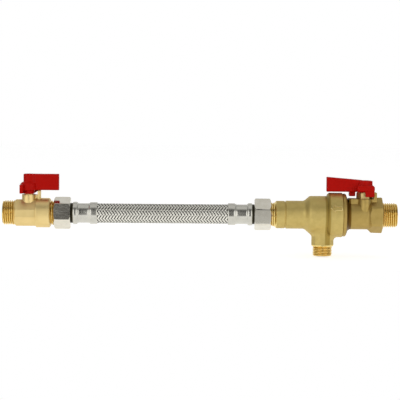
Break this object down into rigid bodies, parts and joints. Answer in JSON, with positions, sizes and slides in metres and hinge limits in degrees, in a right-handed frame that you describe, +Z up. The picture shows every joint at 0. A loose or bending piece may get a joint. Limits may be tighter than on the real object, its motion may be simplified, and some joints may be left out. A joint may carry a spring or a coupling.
{
  "type": "filling loop",
  "caption": "Straight heating filling loop: ball valve with red lever, braided hose with union nuts, and a backflow preventer with discharge branch and mains ball valve.",
  "frame": {"origin": "centre of the heating side's thread end, on the pipe's axis", "axes": "+X along the pipe towards the mains inlet, +Z up through the lever stems, +Y away from the viewer"},
  "size_m": [0.3346, 0.0378, 0.0678],
  "materials": {
    "cast_brass": "as cast and tumbled, faintly rough",
    "turned_brass": "turned bright, fine tool marks",
    "nickel_plated_brass": "satin nickel plate on brass",
    "blackened_brass": "turned and blackened",
    "stainless_ferrule": "drawn and crimped stainless steel",
    "stainless_braid": "woven bright stainless wire",
    "red_nylon": "moulded, satin gloss",
    "chromed_ball": "polished chrome plate",
    "ptfe": "waxy white",
    "rubber": "matt black",
    "epdm_liner": "extruded, matt black",
    "acetal": "moulded off-white",
    "spring_steel": "drawn stainless wire",
    "fibre_washer": "pressed green fibre"
  },
  "bodies": {
    "body": {"left_valve_body": "turned_brass", "left_end_piece": "turned_brass", "left_seat_outer": "ptfe", "left_seat_inner": "ptfe", "left_stem_washer": "ptfe", "hose_nut_left": "nickel_plated_brass", "hose_washer_left": "fibre_washer", "hose_tail_left": "blackened_brass", "hose_ferrule_left": "stainless_ferrule", "hose_liner": "epdm_liner", "hose_braid": "stainless_braid", "hose_ferrule_right": "stainless_ferrule", "hose_tail_right": "blackened_brass", "hose_washer_right": "fibre_washer", "hose_nut_right": "nickel_plated_brass", "outlet_body": "cast_brass", "outlet_check_housing": "acetal", "outlet_check_oring": "rubber", "outlet_check_spring": "spring_steel", "check_retaining_ring": "spring_steel", "vent_seat": "rubber", "piston_spring": "spring_steel", "body_oring": "rubber", "inlet_body": "cast_brass", "inlet_strainer": "stainless_ferrule", "seat_retainer": "turned_brass", "right_seat_inner": "ptfe", "right_seat_outer": "ptfe", "right_stem_washer": "ptfe", "gland_nut": "turned_brass"},
    "heating_valve_turn": {"left_ball": "chromed_ball", "left_stem": "turned_brass", "left_stem_oring": "rubber", "left_lever": "red_nylon", "left_lever_screw": "nickel_plated_brass"},
    "mains_valve_turn": {"right_ball": "chromed_ball", "right_stem": "turned_brass", "right_stem_oring": "rubber", "right_lever": "red_nylon", "right_lever_screw": "nickel_plated_brass"},
    "vent_piston_set": {"vent_piston": "acetal", "piston_seal": "rubber", "inlet_check_guide": "acetal", "inlet_check_spring": "spring_steel"},
    "inlet_poppet": {"inlet_check_poppet": "acetal"},
    "outlet_poppet": {"outlet_check_poppet": "acetal"}
  },
  "joints": [
    {"name": "heating_lever", "type": "hinge", "parent": "body", "child": "heating_valve_turn", "pos_m": [0.0219, 0, 0], "axis": [0, 0, 1], "range_deg": [0, 90]},
    {"name": "mains_lever", "type": "hinge", "parent": "body", "child": "mains_valve_turn", "pos_m": [0.3069, 0, 0], "axis": [0, 0, 1], "range_deg": [-90, 0]},
    {"name": "vent_piston_slide", "type": "slide", "parent": "body", "child": "vent_piston_set", "axis": [1, 0, 0], "range_m": [-0.004, 0], "stiffness_N_per_m": 1750, "springref_m": 0.004, "deforming": ["piston_spring"]},
    {"name": "inlet_check_slide", "type": "slide", "parent": "vent_piston_set", "child": "inlet_poppet", "axis": [1, 0, 0], "range_m": [-0.003, 0], "stiffness_N_per_m": 300, "springref_m": 0.003, "deforming": ["inlet_check_spring"]},
    {"name": "outlet_check_slide", "type": "slide", "parent": "body", "child": "outlet_poppet", "axis": [1, 0, 0], "range_m": [-0.003, 0], "stiffness_N_per_m": 300, "springref_m": 0.003, "deforming": ["outlet_check_spring"]}
  ]
}
